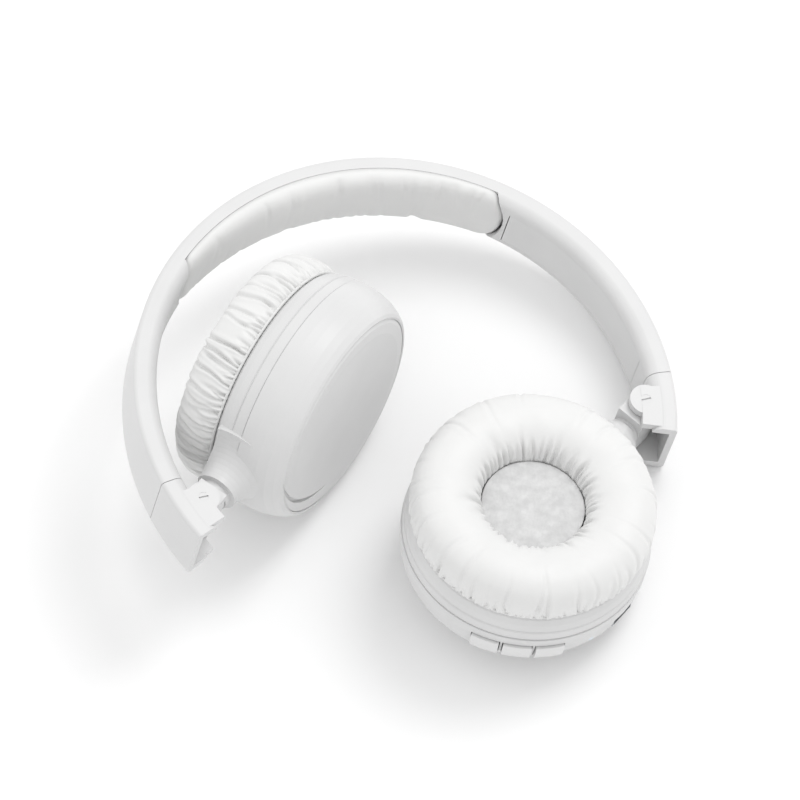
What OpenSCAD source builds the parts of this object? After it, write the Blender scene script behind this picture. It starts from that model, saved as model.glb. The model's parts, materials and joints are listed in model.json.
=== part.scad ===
// Foldable on-ear wireless headphones, resting on a table top.
// The headset is designed in its own frame: X from ear to ear, Y across the
// width of the headband, Z towards the crown, with the crown's outer surface
// at the origin.  A cup has a frame of its own: X away from its hinge, Z along
// the ear cushion's axis.  The last placement lays the headset on the table.

/* [Headband] */
// Radius of the band's outer surface
band_r = 80.8; // [80.6:0.1:81]
// Angle from the crown where the band ends and the sliding arm starts
seam_deg = 97.7; // [97.4:0.1:98]
// Width of the band
band_w = 22.2; // [22:0.1:23]
// Thickness of the band's ends
band_t = 7.4; // [7.4:0.1:7.8]
// Depth of the hard rim beside the crown pad
rim_t = 4.1; // [4:0.1:4.3]
// Thickness of the crown, with the pad
crown_t = 10.4; // [10.2:0.1:11]
// Half angle of the crown pad
pad_deg = 43.5; // [41:0.5:45]

/* [Sliding arms] */
// Angle from the crown where the arm ends
arm_deg = 112; // [111.8:0.1:113]
// Thickness of the arm's two cheeks
cheek_t = 2.7; // [2.4:0.1:2.8]
// Width of the steel strip
strip_w = 9; // [7:0.5:9.5]
// Thickness of the steel strip
strip_t = 1.2; // [1:0.1:1.2]
// Radius of the fold pin
pin_r = 1.5; // [1.3:0.1:1.7]

/* [Cups] */
// Radius of the rear housing
cup_r = 36.9; // [36.5:0.1:37.2]
// Distance from the fold pin to the cushion's axis
cup_reach = 53.1; // [53:0.1:54]
// Height of the ear cushion
cushion_h = 15; // [13:0.5:16]
// Radius of the hole in the ear cushion
hole_r = 15.4; // [15.4:0.1:16.4]
// Radius of the swivel shaft
shaft_r = 2.5; // [2.3:0.1:2.6]

/* [Controls] */
// How far a key stands proud of the housing
key_proud = 0.9; // [0.6:0.1:1.2]
// Angle that each key spans round the housing
key_deg = 13; // [11:0.5:13.5]

/* [Pose on the table] */
// Fold of the right cup, from straight down
right_fold = 58.7; // [56:0.1:61]
// Swivel of the right cup
right_swivel = 86; // [82:0.1:88]
// Fold of the left cup, from straight down
left_fold = 127.4; // [124:0.1:129]
// Swivel of the left cup
left_swivel = 10; // [8:0.1:16]

/* [Hidden] */
$fn = 96;

shell_white = [0.93, 0.93, 0.93];
pad_white = [0.95, 0.95, 0.94];
steel = [0.75, 0.76, 0.78];
dark = [0.2, 0.2, 0.21];
cloth_grey = [0.8, 0.8, 0.8];

// The cup stands this far off the swivel axis, towards the ear
cup_off = 0.6;
// The fold pin's axis
pin_x = 69.4;
pin_z = -98.6;
cable_r = 0.7;

function arc_pts(cx, cy, r, a0, a1, n) =
    [for (i = [0:n]) [cx + r * cos(a0 + (a1 - a0) * i / n), cy + r * sin(a0 + (a1 - a0) * i / n)]];
// Outline across the band: x is the depth below the outer surface, y the width
function band_outline(w, t, ro, ri) = concat(
    arc_pts(-ro, w / 2 - ro, ro, 0, 90, 6),
    arc_pts(-(t - ri), w / 2 - ri, ri, 90, 180, 9),
    arc_pts(-(t - ri), -(w / 2 - ri), ri, 180, 270, 9),
    arc_pts(-ro, -(w / 2 - ro), ro, 270, 360, 6));

// --- frames ---
// The headset as it lies on the table
module on_table() {
    translate([-26.09, 72.52, 33.06]) rotate([-87.7, 13.7, 19.4]) children();
}
module on_side(s) { if (s > 0) children(); else mirror([1, 0, 0]) children(); }
// Sweeps an outline round the band, between two angles from the crown
module band_arc(t0, t1) {
    translate([0, 0, -band_r]) rotate([90, 0, 0]) rotate([0, 0, 90 - t1])
        rotate_extrude(angle = t1 - t0) translate([band_r, 0]) children();
}
// X along the cup's stem, Y along the pin, Z out of the ear side
module hinge_frame(s) {
    f = s > 0 ? right_fold : left_fold;
    multmatrix([[-s * sin(f), 0, -s * cos(f), s * pin_x],
                [0, -s, 0, 0],
                [-cos(f), 0, sin(f), pin_z],
                [0, 0, 0, 1]]) children();
}
module stem_frame(s) {
    hinge_frame(s) rotate([s > 0 ? -right_swivel : -left_swivel, 0, 0]) children();
}
module cup_frame(s) { stem_frame(s) translate([cup_reach, 0, cup_off]) children(); }
module box(x0, x1, y0, y1) { translate([x0, y0]) square([x1 - x0, y1 - y0]); }

// --- headband ---
module band_section() { polygon(band_outline(band_w, band_t, 1.2, 3.8)); }
// The tongue-shaped ends of the pad, cut through the band along its radius
module tongue(extra) {
    w = band_w / 2 + 1;
    for (s = [-1, 1])
        translate([0, 0, -band_r]) rotate([0, s * (pad_deg - 5.4), 0]) translate([0, 0, 50])
            linear_extrude(height = 60)
                polygon(concat([[-s * 0.4, -w], [-s * 0.4, w]],
                    [for (i = [0:12]) [s * (7.4 + extra) * sin(i * 15), w * cos(i * 15)]]));
}
module pad_zone(x0, x1, extra) {
    intersection() {
        band_arc(-pad_deg - 2, pad_deg + 2) box(x0, x1, -15, 15);
        union() {
            tongue(extra);
            band_arc(-pad_deg + 5.4, pad_deg - 5.4) box(-20, 5, -16, 16);
        }
    }
}
module headband_shell() {
    color(shell_white) difference() {
        band_arc(-seam_deg, seam_deg) band_section();
        // the channel inside, and its mouth, which the inner covers close
        band_arc(-seam_deg - 1, seam_deg + 1) box(-6.0, -1.8, -8.6, 8.6);
        for (s = [-1, 1]) on_side(s) band_arc(pad_deg + 1.2, 92.7) box(-9, -5.9, -7.1, 7.1);
        // the seat of the crown pad
        pad_zone(-9, -rim_t, 0);
    }
}
module pad_body() {
    // the inner face follows a wider arc, so the pad thins towards its ends
    low = 11.5;
    rp = band_r - crown_t + low;
    intersection() {
        pad_zone(-16, -rim_t - 0.05, -0.15);
        translate([0, 0, -band_r - low]) rotate([90, 0, 0]) rotate([0, 0, 30])
            rotate_extrude(angle = 120)
                polygon(concat(
                    [[rp + 22, -10.9], [rp + 22, 10.9]],
                    arc_pts(rp + 4.5, 6.4, 4.5, 90, 180, 8),
                    arc_pts(rp + 4.5, -6.4, 4.5, 180, 270, 8)));
    }
}
module headband_pad() {
    color(pad_white) difference() {
        pad_body();
        band_arc(-pad_deg + 7, pad_deg - 7) box(-rim_t - 1.2, 0, -9, 9);
    }
}
module pad_plate() {
    color(dark) band_arc(-pad_deg + 7, pad_deg - 7) box(-rim_t - 1.2, -rim_t, -9, 9);
}
module spring_band() {
    color(steel) band_arc(-70.8, 70.8) box(-3.0, -1.9, -5.6, 5.6);
}
module band_cable() {
    color(dark) band_arc(-96.5, 96.5) translate([-3.2, 7.3]) circle(r = cable_r);
}
module inner_cover(s) {
    color(shell_white) on_side(s) band_arc(pad_deg + 1.4, 92.6) box(-band_t, -6.1, -7.05, 7.05);
}
module slider_guide(s) {
    color(dark) on_side(s) difference() {
        band_arc(72, 95.2) box(-5.9, -1.9, -6.2, 6.2);
        band_arc(71, 97) box(-4.0 - strip_t / 2 - 0.08, -4.0 + strip_t / 2 + 0.08,
            -strip_w / 2 - 0.1, strip_w / 2 + 0.1);
    }
}

// --- sliding arms ---
module pin_axis(s) { translate([s * pin_x, 0, pin_z]) rotate([90, 0, 0]) children(); }
module arm_body() {
    wi = band_w / 2 - cheek_t;
    difference() {
        union() {
            mirror([1, 0, 0]) band_arc(seam_deg + 0.15, arm_deg) band_section();
            // cheeks that carry the pin
            mirror([1, 0, 0]) band_arc(101, arm_deg - 0.8)
                box(-10.5, -2.5, 0.15 - band_w / 2, band_w / 2 - 0.15);
            pin_axis(-1) cylinder(r = 4.8, h = band_w - 0.5, center = true);
        }
        mirror([1, 0, 0]) band_arc(100.3, arm_deg + 3) box(-15, -2, -wi, wi);
        pin_axis(-1) cylinder(r = pin_r, h = 40, center = true);
        mirror([1, 0, 0]) band_arc(seam_deg - 1, 100.0) box(-4.0 - strip_t / 2, -4.0 + strip_t / 2,
            -strip_w / 2, strip_w / 2);
    }
}
module arm_shell(s) {
    color(shell_white) if (s > 0) mirror([1, 0, 0]) arm_body(); else arm_body();
}
module slider_strip(s) {
    color(steel) on_side(s) band_arc(70.0, 100.0)
        box(-4.0 - strip_t / 2, -4.0 + strip_t / 2, -strip_w / 2, strip_w / 2);
}
module fold_pin(s) {
    color(steel) pin_axis(s) difference() {
        cylinder(r = pin_r, h = band_w - 0.5, center = true);
        // screwdriver slots in its two ends
        for (q = [-1, 1]) translate([0, 0, q * (band_w / 2 - 0.25)]) cube([4, 0.5, 1], center = true);
    }
}

// --- hinge blocks ---
module x_cyl(r, x0, x1) { translate([x0, 0, 0]) rotate([0, 90, 0]) cylinder(r = r, h = x1 - x0); }
module hinge_block(s) {
    color(shell_white) hinge_frame(s) difference() {
        union() {
            rotate([90, 0, 0]) cylinder(r = 4.5, h = 15.6, center = true);
            translate([0, -7.8, -4.5]) cube([6.4, 15.6, 9]);
            x_cyl(4.5, 6, 7.2);
        }
        rotate([90, 0, 0]) cylinder(r = pin_r + 0.05, h = 30, center = true);
        x_cyl(shaft_r, 2.6, 8);
    }
}
module swivel_shaft(s) {
    color(steel) hinge_frame(s) difference() {
        x_cyl(shaft_r, 2.6, 20);
        // groove for the clip, and the hole the wires pass through
        difference() { x_cyl(shaft_r + 1, 17.9, 18.7); x_cyl(shaft_r - 0.5, 17.8, 18.8); }
        x_cyl(1.1, 4.2, 21);
    }
}
module swivel_clip(s) {
    color(steel) hinge_frame(s) difference() {
        x_cyl(4.1, 17.9, 18.7);
        x_cyl(shaft_r - 0.5, 17.8, 18.8);
        // the open side of the clip
        translate([17, -1, 0]) cube([3, 2, 6]);
    }
}

// --- cups ---
// The stem: a flared neck round the shaft, in the cup's frame
module stem_solid() {
    x0 = -cup_reach;
    intersection() {
        translate([x0, 0, -cup_off]) rotate([0, 90, 0]) rotate_extrude()
            polygon(concat([[0, 7.5], [4.9, 7.5], [4.9, 9.5]],
                [for (i = [0:10]) [6.5 + 10 * (1 - cos(i * 9)), 9.7 + 10 * sin(i * 9)]],
                [[16.5, 22], [0, 22]]));
        translate([-cup_reach, -20, -12.5]) cube([40, 40, 18.2]);
    }
}
module stem_bore() { translate([-cup_reach, 0, -cup_off]) x_cyl(shaft_r + 0.05, 7, 24); }
// Room for the clip and the shaft's end inside the cup
module clip_room() { translate([-cup_reach, 0, -cup_off]) x_cyl(4.5, 17.5, 22.6); }
module key_window() {
    for (a = [20.5, 35.5, 50.5]) rotate([0, 0, a - key_deg / 2 - 0.5])
        rotate_extrude(angle = key_deg + 1) box(30, 40, -12.8, -5.2);
}
// A crescent notch along the edge of the outer face
module finger_notch() {
    translate([0, 0, -20]) linear_extrude(height = 3.6) difference() {
        translate([-3.9, -4.8]) circle(r = 28.5);
        translate([1.9, -9.7]) circle(r = 34.8);
    }
}
module housing(s) {
    color(shell_white) cup_frame(s) difference() {
        union() {
            difference() {
                rotate_extrude() polygon([[0, -14.6], [0, -16], [31.8, -16], [31.8, -16.7], [32.4, -16.8],
                    [33.3, -16.2], [34.5, -14.4], [35.6, -12], [36.4, -9], [cup_r - 0.1, -6], [cup_r, -2.3],
                    [cup_r - 1.9, -2.3], [35.0, -6], [34.4, -9], [33.5, -11.6], [32.4, -13.5], [31, -14.6]]);
                finger_notch();
            }
            // the stem, and the wall between it and the cup's inside
            difference() {
                stem_solid();
                translate([0, 0, -30]) cylinder(r = cup_r - 3.4, h = 60);
            }
        }
        stem_bore();
        clip_room();
        if (s > 0) {
            key_window();
            rotate([0, 0, 92]) translate([30, -4.6, -10.2]) cube([10, 9.2, 3.5]);
            rotate([0, 0, 72]) translate([33, 0, -9]) rotate([0, 90, 0]) cylinder(r = 0.9, h = 6);
        }
    }
}
module cap(s) {
    color(shell_white) cup_frame(s) difference() {
        rotate_extrude()
            polygon([[0, -17.5], [27.5, -17.5], [30.6, -17.1], [31.7, -16.5], [31.7, -16], [0, -16]]);
        finger_notch();
    }
}
module trim_ring(s) {
    color(shell_white) cup_frame(s) difference() {
        rotate_extrude() polygon([[34.6, -2.3], [cup_r - 0.7, -2.3], [cup_r - 0.3, -1.9],
            [cup_r - 0.4, 1.0], [cup_r - 0.8, 1.4], [34.6, 1.4]]);
        stem_solid();
        stem_bore();
        clip_room();
    }
}
module front_housing(s) {
    color(shell_white) cup_frame(s) difference() {
        rotate_extrude() polygon([[33.4, 1.4], [cup_r - 0.9, 1.4], [cup_r - 0.6, 1.8], [35.8, 4.2],
            [35.0, 6.0], [34.0, 6.9], [33.4, 6.9]]);
        stem_solid();
        stem_bore();
        clip_room();
    }
}
module screw_axes() { for (a = [45:90:315]) rotate([0, 0, a]) translate([25, 0, 0]) children(); }
module baffle(s) {
    color(dark) cup_frame(s) difference() {
        union() {
            translate([0, 0, 5.0]) cylinder(r = 33.4, h = 1.9);
            // posts that the screws go into
            screw_axes() translate([0, 0, 1]) cylinder(r = 2.2, h = 5);
        }
        translate([0, 0, 0]) cylinder(r = 16.1, h = 10);
        screw_axes() cylinder(r = 1, h = 10);
        for (a = [0:60:300]) rotate([0, 0, a + 15]) translate([20.5, 0, 4]) cylinder(r = 1.2, h = 4);
    }
}
module screws(s) {
    color(steel) cup_frame(s) screw_axes() difference() {
        union() {
            translate([0, 0, 2]) cylinder(r = 1, h = 4);
            translate([0, 0, 6]) cylinder(r = 1, h = 0.9);
        }
        translate([0, 0, 6.7]) cube([1.6, 0.35, 1], center = true);
    }
}
module driver(s) {
    color(dark) cup_frame(s) {
        difference() {
            rotate_extrude() polygon([[0, -4.5], [9.5, -4.5], [10, -4], [10, -0.5], [13, 0.5], [15.6, 2.6],
                [16.05, 3.4], [16.05, 6.4], [14.6, 6.4], [14.6, 3.2], [11.5, 1.8], [7.5, 1.2], [7.5, 3.4],
                [0, 3.4]]);
            translate([0, 0, -5]) cylinder(r = 1.5, h = 5);
        }
    }
}
module diaphragm(s) {
    color([0.7, 0.7, 0.72]) cup_frame(s) rotate_extrude()
        polygon([[0, 5.0], [3.5, 4.8], [7, 4.0], [7.6, 3.8], [10.5, 5.2], [13.4, 4.6], [14.5, 4.6],
            [14.5, 4.9], [13.5, 4.9], [10.5, 5.5], [7.6, 4.1], [3.5, 5.1], [0, 5.3]]);
}
module foam_disc(s) {
    color(dark) cup_frame(s) translate([0, 0, 7.0]) cylinder(r = hole_r - 0.3, h = 5.3);
}
module speaker_cloth(s) {
    color(cloth_grey) cup_frame(s) rotate_extrude()
        polygon([[0, 12.4], [hole_r - 0.3, 12.4], [hole_r - 0.3, 12.8], [10, 13.1], [0, 13.2]]);
}
module ear_cushion(s) {
    t = 6.95 + cushion_h;
    color(pad_white) cup_frame(s) rotate_extrude()
        polygon([[hole_r, 6.95], [34.2, 6.95], [35.3, 8.6], [35.9, 11], [36.0, 13.6], [35.4, t - 5.4],
            [33.8, t - 2.8], [31.0, t - 0.9], [27.6, t], [24.4, t], [21.0, t - 1.0], [18.2, t - 3],
            [16.3, t - 5.6], [hole_r, 13.4]]);
}
module battery() {
    color([0.55, 0.56, 0.6]) cup_frame(-1) translate([-12, -15, -13.6]) cube([22, 30, 5.2]);
}
module main_board() {
    color([0.1, 0.35, 0.2]) cup_frame(1) {
        difference() {
            translate([0, 0, -9]) cylinder(r = 27, h = 1.2);
            translate([-40, -40, -10]) cube([26, 80, 4]);
            translate([14, -40, -10]) cube([20, 56, 4]);
        }
        // the chips
        translate([-6, -5, -7.9]) cube([9, 9, 1.4]);
        translate([-9, 8, -7.9]) cube([6, 5, 1.2]);
        translate([4, -16, -7.9]) cube([5, 8, 1.2]);
    }
}
module charging_port() {
    color(steel) cup_frame(1) rotate([0, 0, 92]) difference() {
        translate([29.2, -4.5, -10.1]) cube([7.1, 9, 3.3]);
        translate([29.8, -4.1, -9.7]) cube([8, 8.2, 2.5]);
    }
}
module status_lens() {
    color([0.8, 0.9, 1]) cup_frame(1) rotate([0, 0, 72]) translate([33.4, 0, -9])
        rotate([0, 90, 0]) cylinder(r = 0.9, h = 3);
}
// A key: a sector that fills its window and stands proud of the housing
module key(a) {
    color(shell_white) cup_frame(1) rotate([0, 0, a]) {
        rotate([0, 0, -key_deg / 2]) rotate_extrude(angle = key_deg)
            polygon([[34.2, -12.0], [36.0 + key_proud, -11.6], [36.6 + key_proud, -9.5],
                [cup_r + key_proud, -7.0], [cup_r - 0.2 + key_proud, -5.6], [34.2, -5.6]]);
        // its plunger
        translate([30.5, -1.2, -10.2]) cube([4.5, 2.4, 2.4]);
    }
}

on_table() headband_shell();
on_table() headband_pad();
on_table() pad_plate();
on_table() spring_band();
on_table() band_cable();
on_table() inner_cover(-1);  // left_inner_cover
on_table() inner_cover(1);  // right_inner_cover
on_table() slider_guide(-1);  // left_slider_guide
on_table() slider_guide(1);  // right_slider_guide
on_table() arm_shell(-1);  // left_arm_shell
on_table() slider_strip(-1);  // left_slider_strip
on_table() fold_pin(-1);  // left_fold_pin
on_table() arm_shell(1);  // right_arm_shell
on_table() slider_strip(1);  // right_slider_strip
on_table() fold_pin(1);  // right_fold_pin
on_table() hinge_block(-1);  // left_hinge_block
on_table() swivel_shaft(-1);  // left_swivel_shaft
on_table() swivel_clip(-1);  // left_swivel_clip
on_table() hinge_block(1);  // right_hinge_block
on_table() swivel_shaft(1);  // right_swivel_shaft
on_table() swivel_clip(1);  // right_swivel_clip
on_table() housing(-1);  // left_housing
on_table() cap(-1);  // left_cap
on_table() trim_ring(-1);  // left_trim_ring
on_table() front_housing(-1);  // left_front_housing
on_table() baffle(-1);  // left_baffle
on_table() driver(-1);  // left_driver
on_table() diaphragm(-1);  // left_diaphragm
on_table() foam_disc(-1);  // left_foam_disc
on_table() speaker_cloth(-1);  // left_speaker_cloth
on_table() ear_cushion(-1);  // left_ear_cushion
on_table() screws(-1);  // left_screws
on_table() battery();
on_table() housing(1);  // right_housing
on_table() cap(1);  // right_cap
on_table() trim_ring(1);  // right_trim_ring
on_table() front_housing(1);  // right_front_housing
on_table() baffle(1);  // right_baffle
on_table() driver(1);  // right_driver
on_table() diaphragm(1);  // right_diaphragm
on_table() foam_disc(1);  // right_foam_disc
on_table() speaker_cloth(1);  // right_speaker_cloth
on_table() ear_cushion(1);  // right_ear_cushion
on_table() screws(1);  // right_screws
on_table() main_board();
on_table() charging_port();
on_table() status_lens();
on_table() key(20.5);  // volume_down_key
on_table() key(35.5);  // play_key
on_table() key(50.5);  // volume_up_key
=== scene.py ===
import json
import math

import bpy
import numpy as np
from mathutils import Matrix, Vector

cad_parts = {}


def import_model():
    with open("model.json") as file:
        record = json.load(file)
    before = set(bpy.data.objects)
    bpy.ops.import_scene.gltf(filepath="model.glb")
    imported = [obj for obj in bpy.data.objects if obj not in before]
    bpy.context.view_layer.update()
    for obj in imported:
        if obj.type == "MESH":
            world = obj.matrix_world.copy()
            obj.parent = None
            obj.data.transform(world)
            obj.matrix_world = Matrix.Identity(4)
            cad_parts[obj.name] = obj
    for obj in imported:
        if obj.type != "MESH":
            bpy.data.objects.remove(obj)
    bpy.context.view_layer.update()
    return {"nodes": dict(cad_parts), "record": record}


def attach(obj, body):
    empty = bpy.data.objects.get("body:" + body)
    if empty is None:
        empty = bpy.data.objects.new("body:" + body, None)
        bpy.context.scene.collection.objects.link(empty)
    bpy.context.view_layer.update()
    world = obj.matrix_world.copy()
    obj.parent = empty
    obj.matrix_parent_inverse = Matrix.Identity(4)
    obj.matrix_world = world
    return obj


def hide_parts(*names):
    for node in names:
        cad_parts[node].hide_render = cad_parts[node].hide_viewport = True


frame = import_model()
nodes = frame["nodes"]
rng = np.random.default_rng(11)
MM = 0.001


# ---------------------------------------------------------------- frames, as in the design
def rot(axis, deg):
    return np.array(Matrix.Rotation(math.radians(deg), 3, axis))


W = rot("Z", 19.4) @ rot("Y", 13.7) @ rot("X", -87.7)
T = np.array([-26.09, 72.52, 33.06])


def world(p):
    """Headset frame, millimetres, to the row frame in metres."""
    return (np.atleast_2d(p) @ W.T + T) * MM


def cup_frame(s):
    f = math.radians(58.7 if s > 0 else 127.4)
    sw = 86.0 if s > 0 else 10.0
    F = np.array([[-s * math.sin(f), 0, -s * math.cos(f)], [0, -s, 0], [-math.cos(f), 0, math.sin(f)]])
    S = F @ rot("X", -sw)
    c = np.array([s * 69.4, 0, -98.6]) + S @ np.array([53.1, 0, 0.6])
    return S, c


def place(obj, s):
    """A mesh in a cup's own frame, in metres, goes to its place; its own coordinates stay as an attribute."""
    S, c = cup_frame(s)
    A = np.eye(4)
    A[:3, :3] = W @ S
    A[:3, 3] = world(c)[0]
    me = obj.data
    co = np.zeros(len(me.vertices) * 3, np.float32)
    me.vertices.foreach_get("co", co)
    at = me.attributes.new("cup_co", "FLOAT_VECTOR", "POINT")
    at.data.foreach_set("vector", co)
    me.transform(Matrix(A.tolist()))
    me.update()


# ---------------------------------------------------------------- materials
def new_mat(name):
    m = bpy.data.materials.new(name)
    m.use_nodes = True
    nt = m.node_tree
    b = nt.nodes["Principled BSDF"]
    co = nt.nodes.new("ShaderNodeTexCoord")
    return m, nt, b, co


def noise(nt, co, scale, detail=4.0, rough=0.55):
    n = nt.nodes.new("ShaderNodeTexNoise")
    n.inputs["Scale"].default_value = scale
    n.inputs["Detail"].default_value = detail
    n.inputs["Roughness"].default_value = rough
    nt.links.new(co.outputs["Object"], n.inputs["Vector"])
    return n


def ramp(nt, src, a, b, lo=0.35, hi=0.65):
    r = nt.nodes.new("ShaderNodeValToRGB")
    r.color_ramp.elements[0].position = lo
    r.color_ramp.elements[1].position = hi
    r.color_ramp.elements[0].color = (*a, 1)
    r.color_ramp.elements[1].color = (*b, 1)
    nt.links.new(src, r.inputs["Fac"])
    return r


def to_range(nt, src, lo, hi):
    r = nt.nodes.new("ShaderNodeMapRange")
    r.inputs["To Min"].default_value = lo
    r.inputs["To Max"].default_value = hi
    nt.links.new(src, r.inputs["Value"])
    return r


def bump(nt, b, src, strength, dist, prev=None):
    n = nt.nodes.new("ShaderNodeBump")
    n.inputs["Strength"].default_value = strength
    n.inputs["Distance"].default_value = dist
    nt.links.new(src, n.inputs["Height"])
    if prev is not None:
        nt.links.new(prev.outputs["Normal"], n.inputs["Normal"])
    nt.links.new(n.outputs["Normal"], b.inputs["Normal"])
    return n


def plastic(name, col, rough=(0.38, 0.5), grain=2600.0, bump_mm=0.012, var=0.012):
    m, nt, b, co = new_mat(name)
    big = noise(nt, co, 55.0, 5.0)
    fine = noise(nt, co, grain, 2.0)
    lo = tuple(max(0, c - var) for c in col)
    hi = tuple(min(1, c + var) for c in col)
    nt.links.new(ramp(nt, big.outputs["Fac"], lo, hi).outputs["Color"], b.inputs["Base Color"])
    nt.links.new(to_range(nt, big.outputs["Fac"], *rough).outputs["Result"], b.inputs["Roughness"])
    bump(nt, b, fine.outputs["Fac"], 0.35, bump_mm * MM)
    return m


def leather(name, col):
    m, nt, b, co = new_mat(name)
    big = noise(nt, co, 90.0, 6.0, 0.6)
    mid = noise(nt, co, 420.0, 4.0, 0.6)
    vor = nt.nodes.new("ShaderNodeTexVoronoi")
    vor.feature = "DISTANCE_TO_EDGE"
    vor.inputs["Scale"].default_value = 1500.0
    nt.links.new(co.outputs["Object"], vor.inputs["Vector"])
    lo = tuple(c - 0.02 for c in col)
    nt.links.new(ramp(nt, big.outputs["Fac"], lo, col, 0.3, 0.62).outputs["Color"], b.inputs["Base Color"])
    nt.links.new(to_range(nt, mid.outputs["Fac"], 0.42, 0.58).outputs["Result"], b.inputs["Roughness"])
    b.inputs["Sheen Weight"].default_value = 0.12
    b.inputs["Sheen Roughness"].default_value = 0.5
    first = bump(nt, b, mid.outputs["Fac"], 0.35, 0.12 * MM)
    bump(nt, b, vor.outputs["Distance"], 0.22, 0.05 * MM, first)
    return m


def weave(name, a, c):
    m, nt, b, co = new_mat(name)
    mottle = noise(nt, co, 330.0, 6.0, 0.62)
    big = noise(nt, co, 160.0, 3.0)
    own = nt.nodes.new("ShaderNodeAttribute")
    own.attribute_name = "cup_co"
    sep = nt.nodes.new("ShaderNodeSeparateXYZ")
    nt.links.new(own.outputs["Vector"], sep.inputs["Vector"])
    parts = []
    for ax in ("X", "Y"):
        mul = nt.nodes.new("ShaderNodeMath")
        mul.operation = "MULTIPLY"
        mul.inputs[1].default_value = 2 * math.pi / (0.62 * MM)
        nt.links.new(sep.outputs[ax], mul.inputs[0])
        si = nt.nodes.new("ShaderNodeMath")
        si.operation = "SINE"
        nt.links.new(mul.outputs[0], si.inputs[0])
        parts.append(si)
    pr = nt.nodes.new("ShaderNodeMath")
    pr.operation = "MULTIPLY"
    nt.links.new(parts[0].outputs[0], pr.inputs[0])
    nt.links.new(parts[1].outputs[0], pr.inputs[1])
    mixn = nt.nodes.new("ShaderNodeMath")
    mixn.operation = "ADD"
    nt.links.new(mottle.outputs["Fac"], mixn.inputs[0])
    sc = nt.nodes.new("ShaderNodeMath")
    sc.operation = "MULTIPLY"
    sc.inputs[1].default_value = 0.035
    nt.links.new(pr.outputs[0], sc.inputs[0])
    nt.links.new(sc.outputs[0], mixn.inputs[1])
    nt.links.new(ramp(nt, mixn.outputs[0], a, c, 0.36, 0.66).outputs["Color"], b.inputs["Base Color"])
    nt.links.new(to_range(nt, big.outputs["Fac"], 0.8, 0.95).outputs["Result"], b.inputs["Roughness"])
    b.inputs["Sheen Weight"].default_value = 0.2
    first = bump(nt, b, pr.outputs[0], 0.4, 0.06 * MM)
    bump(nt, b, mottle.outputs["Fac"], 0.35, 0.15 * MM, first)
    return m


def metal(name, col, rough=(0.24, 0.38), scale=(4000.0, 120.0)):
    m, nt, b, co = new_mat(name)
    mp = nt.nodes.new("ShaderNodeMapping")
    mp.inputs["Scale"].default_value = (scale[0], scale[1], scale[0])
    nt.links.new(co.outputs["Object"], mp.inputs["Vector"])
    n = nt.nodes.new("ShaderNodeTexNoise")
    n.inputs["Scale"].default_value = 1.0
    nt.links.new(mp.outputs["Vector"], n.inputs["Vector"])
    nt.links.new(ramp(nt, n.outputs["Fac"], tuple(c * 0.9 for c in col), col).outputs["Color"], b.inputs["Base Color"])
    nt.links.new(to_range(nt, n.outputs["Fac"], *rough).outputs["Result"], b.inputs["Roughness"])
    b.inputs["Metallic"].default_value = 1.0
    bump(nt, b, n.outputs["Fac"], 0.2, 0.01 * MM)
    return m


SHELL = plastic("white_shell_mat", (0.665, 0.665, 0.665))
KEYS = plastic("white_keys_mat", (0.72, 0.72, 0.72), (0.3, 0.42))
TRIM = plastic("inner_trim_mat", (0.69, 0.69, 0.69), (0.5, 0.62))
PAD = leather("soft_pad_mat", (0.745, 0.745, 0.74))
CLOTH = weave("speaker_cloth_mat", (0.575, 0.575, 0.575), (0.685, 0.685, 0.685))
DARK = plastic("dark_plastic_mat", (0.10, 0.10, 0.105), (0.5, 0.65))
FOAM = plastic("foam_mat", (0.05, 0.05, 0.05), (0.9, 1.0), 900.0, 0.2)
STEEL = metal("steel_mat", (0.62, 0.63, 0.65))
FOIL = metal("cell_foil_mat", (0.55, 0.56, 0.58), (0.3, 0.45))
DRIVER = metal("driver_metal_mat", (0.2, 0.2, 0.21), (0.4, 0.55))
FILM = plastic("film_mat", (0.5, 0.5, 0.52), (0.2, 0.3))
SHEATH = plastic("cable_sheath_mat", (0.06, 0.06, 0.06), (0.55, 0.7))
BOARD = plastic("board_mat", (0.03, 0.16, 0.09), (0.25, 0.4), 1200.0, 0.03, 0.02)
LENS = plastic("lens_mat", (0.75, 0.8, 0.85), (0.1, 0.18))
by_slot = {"white_shell": SHELL, "white_keys": KEYS, "inner_trim": TRIM, "soft_pad": PAD, "speaker_cloth": CLOTH,
           "foam": FOAM, "steel": STEEL, "dark_plastic": DARK, "driver_metal": DRIVER, "film": FILM,
           "cable_sheath": SHEATH, "cell_foil": FOIL, "board": BOARD, "lens": LENS}
for sp in frame["record"]["subparts"]:
    o = nodes[sp["node"]]
    mat = by_slot[sp["material_slot"]]
    if not o.material_slots:
        o.data.materials.append(mat)
    if sp["node"].endswith("fold_pin"):
        mat = SHELL  # the pins take the white shell material, so their ends show white
    for ms in o.material_slots:
        ms.material = mat


# ---------------------------------------------------------------- mesh helpers
def make(name, verts, faces, mat):
    me = bpy.data.meshes.new(name)
    me.from_pydata([tuple(v) for v in np.asarray(verts)], [], faces)
    me.validate()
    me.update()
    me.polygons.foreach_set("use_smooth", [True] * len(me.polygons))
    o = bpy.data.objects.new(name, me)
    bpy.context.scene.collection.objects.link(o)
    me.materials.append(mat)
    return o


def catmull(pts, n):
    pts = np.array(pts, float)
    P = np.vstack([2 * pts[0] - pts[1], pts, 2 * pts[-1] - pts[-2]])
    out = []
    for i in range(1, len(P) - 2):
        for k in range(n):
            t = k / n
            a, b, c, d = P[i - 1], P[i], P[i + 1], P[i + 2]
            out.append(0.5 * ((2 * b) + (c - a) * t + (2 * a - 5 * b + 4 * c - d) * t * t + (3 * b - a - 3 * c + d) * t ** 3))
    out.append(P[-2])
    return np.array(out)


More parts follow.
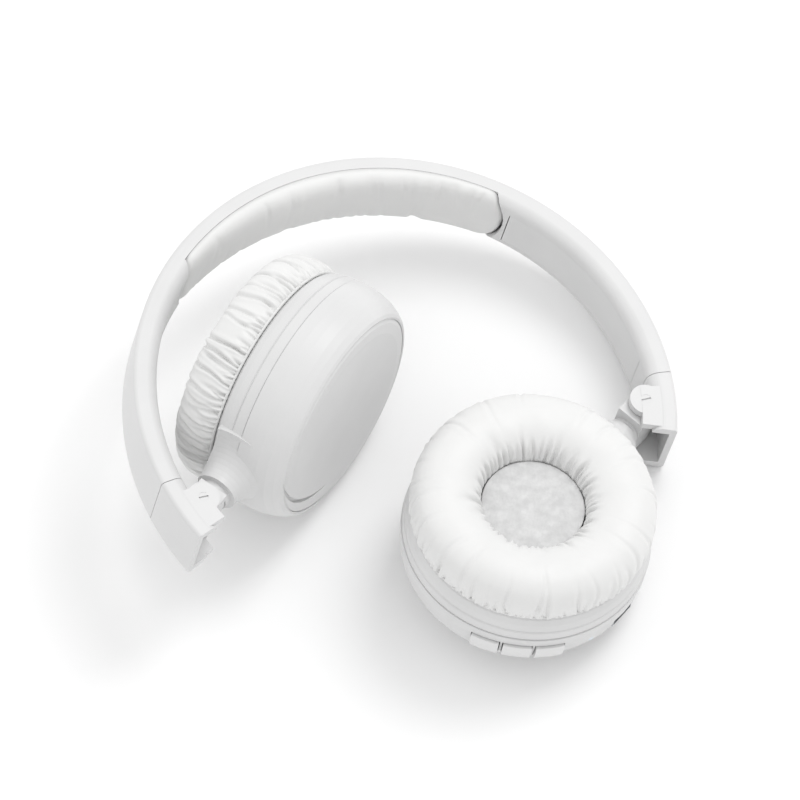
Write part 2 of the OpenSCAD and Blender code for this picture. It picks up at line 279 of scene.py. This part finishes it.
def ring_faces(nu, nv, closed_v):
    """Quads of a grid whose u runs round; v closes too if asked."""
    f = []
    for i in range(nu):
        i2 = (i + 1) % nu
        for j in range(nv if closed_v else nv - 1):
            j2 = (j + 1) % nv
            f.append((i * nv + j, i2 * nv + j, i2 * nv + j2, i * nv + j2))
    return f


def smoothstep(a, b, x):
    t = np.clip((x - a) / (b - a), 0, 1)
    return t * t * (3 - 2 * t)


def creases(th, s, seed, count, depth, width, s0, length, slant=0.0, jitter=0.42):
    """Sewn gathers: narrow folds at irregular angles that start at profile place s0 and fade along it."""
    r = np.random.default_rng(seed)
    out = np.zeros_like(th)
    step = 360.0 / count
    for i in range(count):
        a = (i + r.uniform(-jitter, jitter)) * step
        d = r.uniform(*depth)
        w = r.uniform(*width)
        L = r.uniform(*length)
        sl = r.uniform(-slant, slant)
        wob, ph = r.uniform(0, 0.8), r.uniform(0, 6.28)
        x = (s - s0) if L > 0 else (s0 - s)
        fade = (1 - smoothstep(0.35 * abs(L), abs(L), x)) * smoothstep(-2.2, 0.2, x)
        c = a + sl * x + wob * np.sin(x * 0.45 + ph)
        dd = (th - c + 180) % 360 - 180
        ww = w * (1 + 0.10 * np.clip(x, 0, 30))
        out -= d * fade * np.exp(-((dd / ww) ** 2))
        # the cloth stands up a little beside the fold
        out += 0.35 * d * fade * np.exp(-(((dd - 1.9 * ww) / (1.3 * ww)) ** 2))
        out += 0.25 * d * fade * np.exp(-(((dd + 1.9 * ww) / (1.3 * ww)) ** 2))
    return out


def soft_noise(th, s, seed, terms, amp):
    r = np.random.default_rng(seed)
    out = np.zeros_like(th)
    for _ in range(terms):
        k = r.integers(2, 15)
        q = r.uniform(0.05, 0.35)
        out += r.uniform(0.3, 1.0) * np.sin(np.radians(th) * k + r.uniform(0, 6.28)) * np.cos(s * q + r.uniform(0, 6.28))
    return out * amp / math.sqrt(terms)


# ---------------------------------------------------------------- ear cushions
def ear_cushion(s, seed, wall, seam, long_):
    name = ("left" if s < 0 else "right") + "_cushion_skin"
    prof = catmull([(33.9, 7.05), (34.9, 7.5), (35.75, 9.2), (36.05, 11.6), (36.0, 14.2), (35.3, 17.0), (33.9, 19.4),
                    (31.6, 21.1), (28.6, 21.9), (25.3, 21.95), (22.0, 21.25), (19.2, 19.8), (17.1, 17.6), (15.95, 15.0),
                    (15.55, 12.4), (15.5, 9.6), (15.5, 7.05)], 7)
    d = np.gradient(prof, axis=0)
    nrm = np.stack([d[:, 1], -d[:, 0]], 1)
    nrm /= np.linalg.norm(nrm, axis=1)[:, None]
    seg = np.linalg.norm(np.diff(prof, axis=0), axis=1)
    arc = np.concatenate([[0], np.cumsum(seg)])
    nu, nv = 900, len(prof)
    th = np.repeat(np.arange(nu) * 360.0 / nu, nv).reshape(nu, nv)
    S = np.tile(arc, (nu, 1))
    total = arc[-1]
    top_in = arc[np.argmin(np.abs(prof[:, 0] - 19.2) + 10 * (np.arange(nv) < nv // 2))]
    disp = np.zeros((nu, nv))
    disp += creases(th, S, seed + 1, wall[0], wall[1], (0.5, 0.9), 1.0, wall[2], 0.22)
    disp += creases(th, S, seed + 7, long_[0], long_[1], (0.42, 0.6), 1.0, long_[2], 0.16)
    disp += creases(th, S, seed + 8, 64, (0.2, 0.5), (0.7, 1.2), top_in + 6.5, (-8.0, -4.5), 0.2, 0.25)
    disp += creases(th, S, seed + 2, seam[0], seam[1], (0.4, 0.8), 0.4, (3.0, 8.0), 0.5)
    disp += creases(th, S, seed + 3, 40, (0.35, 0.95), (1.0, 2.2), top_in + 7.5, (-14.0, -6.5), 0.4)
    disp += soft_noise(th, S, seed + 4, 14, 0.22) * smoothstep(0.5, 4.0, S)
    # the hem is held at the flange and inside the hole
    disp *= smoothstep(-0.8, 1.2, S) * smoothstep(total + 0.2, total - 4.0, S)
    disp = np.clip(disp, -1.5, 0.45)
    r = prof[None, :, 0] + nrm[None, :, 0] * disp
    z = prof[None, :, 1] + nrm[None, :, 1] * disp
    z = np.maximum(z, 7.0)
    a = np.radians(th)
    V = np.stack([r * np.cos(a), r * np.sin(a), z], -1).reshape(-1, 3) * MM
    faces = ring_faces(nu, nv, True)
    o = make(name, V, faces, PAD)
    place(o, s)
    side = "left" if s < 0 else "right"
    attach(o, side + "_cup")
    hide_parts(side + "_ear_cushion")
    # the sewn hem cord between cushion and flange
    nb = 8
    n2 = 360
    hv = []
    gather = creases(np.arange(n2) * 360.0 / n2, np.full(n2, 1.0), seed + 9, 78, (0.1, 0.28), (0.5, 1.1), 0.5, (4, 6))
    for i in range(n2):
        t = 2 * math.pi * i / n2
        rr = 34.55 + gather[i]
        for k in range(nb):
            q = 2 * math.pi * k / nb
            x = rr + 0.55 * math.cos(q)
            hv.append((x * math.cos(t) * MM, x * math.sin(t) * MM, (7.35 + 0.42 * math.sin(q)) * MM))
    h = make(side + "_cushion_hem", hv, ring_faces(n2, nb, True), PAD)
    place(h, s)
    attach(h, side + "_cup")
    return o


ear_cushion(1, 100, (40, (0.25, 0.7), (6.0, 17.0)), (96, (0.3, 0.75)), (30, (0.25, 0.6), (14.0, 30.0)))
ear_cushion(-1, 200, (44, (0.3, 0.8), (8.0, 20.0)), (104, (0.35, 0.8)), (50, (0.5, 1.1), (22.0, 34.0)))


# ---------------------------------------------------------------- speaker cloth
def cloth_disc(s):
    side = "left" if s < 0 else "right"
    rs = np.linspace(0, 15.2, 40)
    nu = 160
    r2 = np.random.default_rng(50 + s)
    V, F = [], []
    waves = [(r2.uniform(0.5, 1.6), r2.uniform(0, 6.28), r2.uniform(0, 6.28)) for _ in range(10)]

    def h(x, y):
        v = 0.0
        for k, p, q in waves:
            v += math.sin(k * (x * math.cos(q) + y * math.sin(q)) + p)
        return 0.05 * v

    for top in (1, 0):
        for r in rs[1:]:
            for i in range(nu):
                t = 2 * math.pi * i / nu
                x, y = r * math.cos(t), r * math.sin(t)
                dome = 13.25 - 0.75 * (r / 15.2) ** 3
                zz = dome + h(x, y) * (1 - (r / 15.2) ** 4) if top else 12.42
                V.append((x * MM, y * MM, zz * MM))
        V.append((0, 0, (13.25 + h(0, 0) if top else 12.42) * MM))
    n = len(rs) - 1
    blk = n * nu + 1
    for b, flip in ((0, False), (blk, True)):
        for j in range(n - 1):
            for i in range(nu):
                q = (b + j * nu + i, b + (j + 1) * nu + i, b + (j + 1) * nu + (i + 1) % nu, b + j * nu + (i + 1) % nu)
                F.append(q[::-1] if flip else q)
        for i in range(nu):
            q = (b + n * nu, b + i, b + (i + 1) % nu)
            F.append(q[::-1] if flip else q)
    for i in range(nu):
        a, c = (n - 1) * nu + i, (n - 1) * nu + (i + 1) % nu
        F.append((a, a + blk, c + blk, c))
    o = make(side + "_cloth_cover", V, F, CLOTH)
    place(o, s)
    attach(o, side + "_cup")
    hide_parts(side + "_speaker_cloth")


cloth_disc(1)
cloth_disc(-1)


# ---------------------------------------------------------------- crown pad
def crown_pad():
    na, nb = 300, 56
    lim = 43.45
    th = np.sin(np.linspace(-math.pi / 2, math.pi / 2, na)) * lim
    V = []
    r5 = np.random.default_rng(77)
    cre = [(r5.uniform(-40, 40), r5.uniform(0.12, 0.45), r5.uniform(0.35, 0.9), r5.choice([-1, 1]), r5.uniform(-0.6, 0.6))
           for _ in range(46)]
    for a in th:
        e = max(0.0, (abs(a) - 38.1) / (lim - 38.1))
        ymax = 11.0 * math.sqrt(max(0.0006, 1 - e * e))
        ca = math.cos(math.radians(a))
        rin = -11.5 * ca + math.sqrt(132.25 * ca * ca + 6575.36)
        D = 80.8 - rin
        D = 4.2 + (D - 4.2) * (max(0.0, 1 - e ** 7)) ** 0.5
        for j in range(nb):
            t = 2 * math.pi * j / nb
            if t <= math.pi:
                y = ymax * math.copysign(abs(math.cos(t)) ** 0.62, math.cos(t))
                d = 4.2 + (D - 4.2) * math.sin(t) ** 0.62
                w = 0.0
                for c0, dp, wd, sd, sl in cre:
                    yy = sd * y
                    f = max(0.0, min(1.0, (yy + 1.0) / 9.0))
                    w += dp * f * math.exp(-(((a - c0 - sl * (11 - yy) * 0.25) / wd) ** 2))
                d -= w * min(1.0, math.sin(t) * 2.5) * (1 - e)
            else:
                y = ymax * math.cos(t)
                d = 4.2
            r = 80.8 - d
            V.append((r * math.sin(math.radians(a)), y, -80.8 + r * ca))
    V = world(np.array(V))
    F = []
    for i in range(na - 1):
        for j in range(nb):
            j2 = (j + 1) % nb
            F.append((i * nb + j, i * nb + j2, (i + 1) * nb + j2, (i + 1) * nb + j))
    F.append(tuple(range(nb))[::-1])
    F.append(tuple((na - 1) * nb + j for j in range(nb)))
    o = make("crown_pad_skin", V, F, PAD)
    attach(o, "headband")
    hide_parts("headband_pad")


crown_pad()

# ---------------------------------------------------------------- floor, light, camera
fm, fnt, fb, fco = new_mat("floor_mat")
fn = noise(fnt, fco, 3.0, 2.0)
fnt.links.new(ramp(fnt, fn.outputs["Fac"], (0.93, 0.93, 0.93), (0.94, 0.94, 0.94)).outputs["Color"], fb.inputs["Base Color"])
fb.inputs["Roughness"].default_value = 0.9
fb.inputs["Specular IOR Level"].default_value = 0.1
bpy.ops.mesh.primitive_plane_add(size=14, location=(0, 0, -0.0002))
floor = bpy.context.object
floor.name = "floor"
floor.data.materials.append(fm)

wd = bpy.data.worlds.new("studio")
bpy.context.scene.world = wd
wd.use_nodes = True
wd.node_tree.nodes["Background"].inputs["Color"].default_value = (1, 1, 1, 1)
wd.node_tree.nodes["Background"].inputs["Strength"].default_value = 0.93


def area(name, loc, target, size, power):
    l = bpy.data.lights.new(name, "AREA")
    l.shape = "DISK"
    l.size = size
    l.energy = power
    o = bpy.data.objects.new(name, l)
    bpy.context.scene.collection.objects.link(o)
    o.location = loc
    o.rotation_euler = (Vector(target) - Vector(loc)).to_track_quat("-Z", "Y").to_euler()
    return o


area("key_light", (0.75, 0.65, 1.5), (0, 0, 0.02), 0.8, 9.5)
area("fill_light", (-1.0, 0.5, 1.3), (0, 0, 0.02), 1.2, 2.0)

Rc = np.array([[0.92897, -0.17947, -0.32373], [-0.20352, 0.48287, -0.85171], [0.30918, 0.8571, 0.41204]])
Tc = np.array([-26.139, -64.914, 2960.727])
cam = bpy.data.cameras.new("camera")
cam.lens = 450
cam.sensor_width = 36
cam.clip_start = 0.1
cam.clip_end = 50
co = bpy.data.objects.new("camera", cam)
bpy.context.scene.collection.objects.link(co)
X, Y, Z = W @ Rc[0], -(W @ Rc[1]), -(W @ Rc[2])
M = np.eye(4)
M[:3, 0], M[:3, 1], M[:3, 2] = X, Y, Z
M[:3, 3] = world(-Rc.T @ Tc)[0]
co.matrix_world = Matrix(M.tolist())
bpy.context.scene.camera = co
bpy.context.scene.view_settings.view_transform = "Standard"

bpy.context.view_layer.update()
